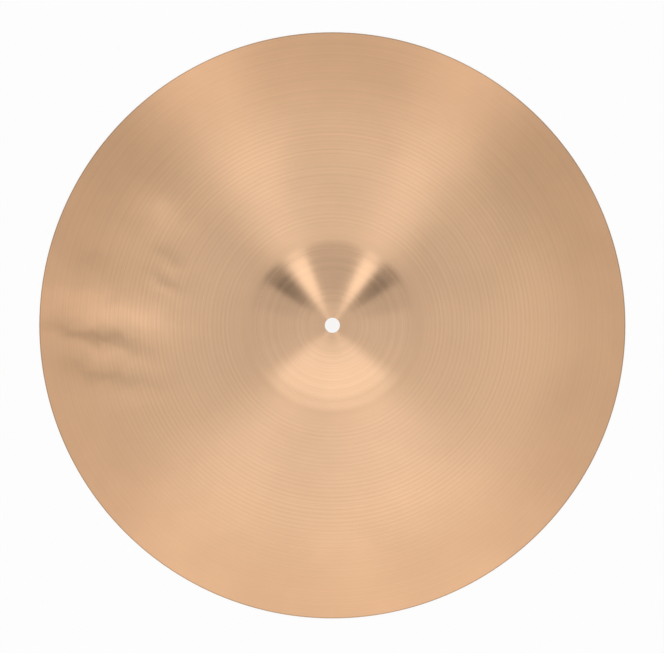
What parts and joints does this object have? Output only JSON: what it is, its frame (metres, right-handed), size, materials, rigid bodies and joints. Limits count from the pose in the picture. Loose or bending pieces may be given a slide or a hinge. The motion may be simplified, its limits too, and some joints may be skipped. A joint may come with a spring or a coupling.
{
  "type": "ride cymbal",
  "caption": "Ride cymbal: one thin lathed bronze disc with a raised bell round its mounting hole, a gently arched bow and a rounded rim.",
  "frame": {"origin": "on the turning axis, in the plane that the rim rests on, under the middle of the mounting hole", "axes": "+Z along the turning axis, from the rim's plane up through the bell; X and Y are alike"},
  "size_m": [0.508, 0.508, 0.0449],
  "materials": {
    "bronze": "lathed and hammered bell bronze, satin, with fine turned grooves"
  },
  "bodies": {
    "root": {"cymbal": "bronze"}
  },
  "joints": []
}
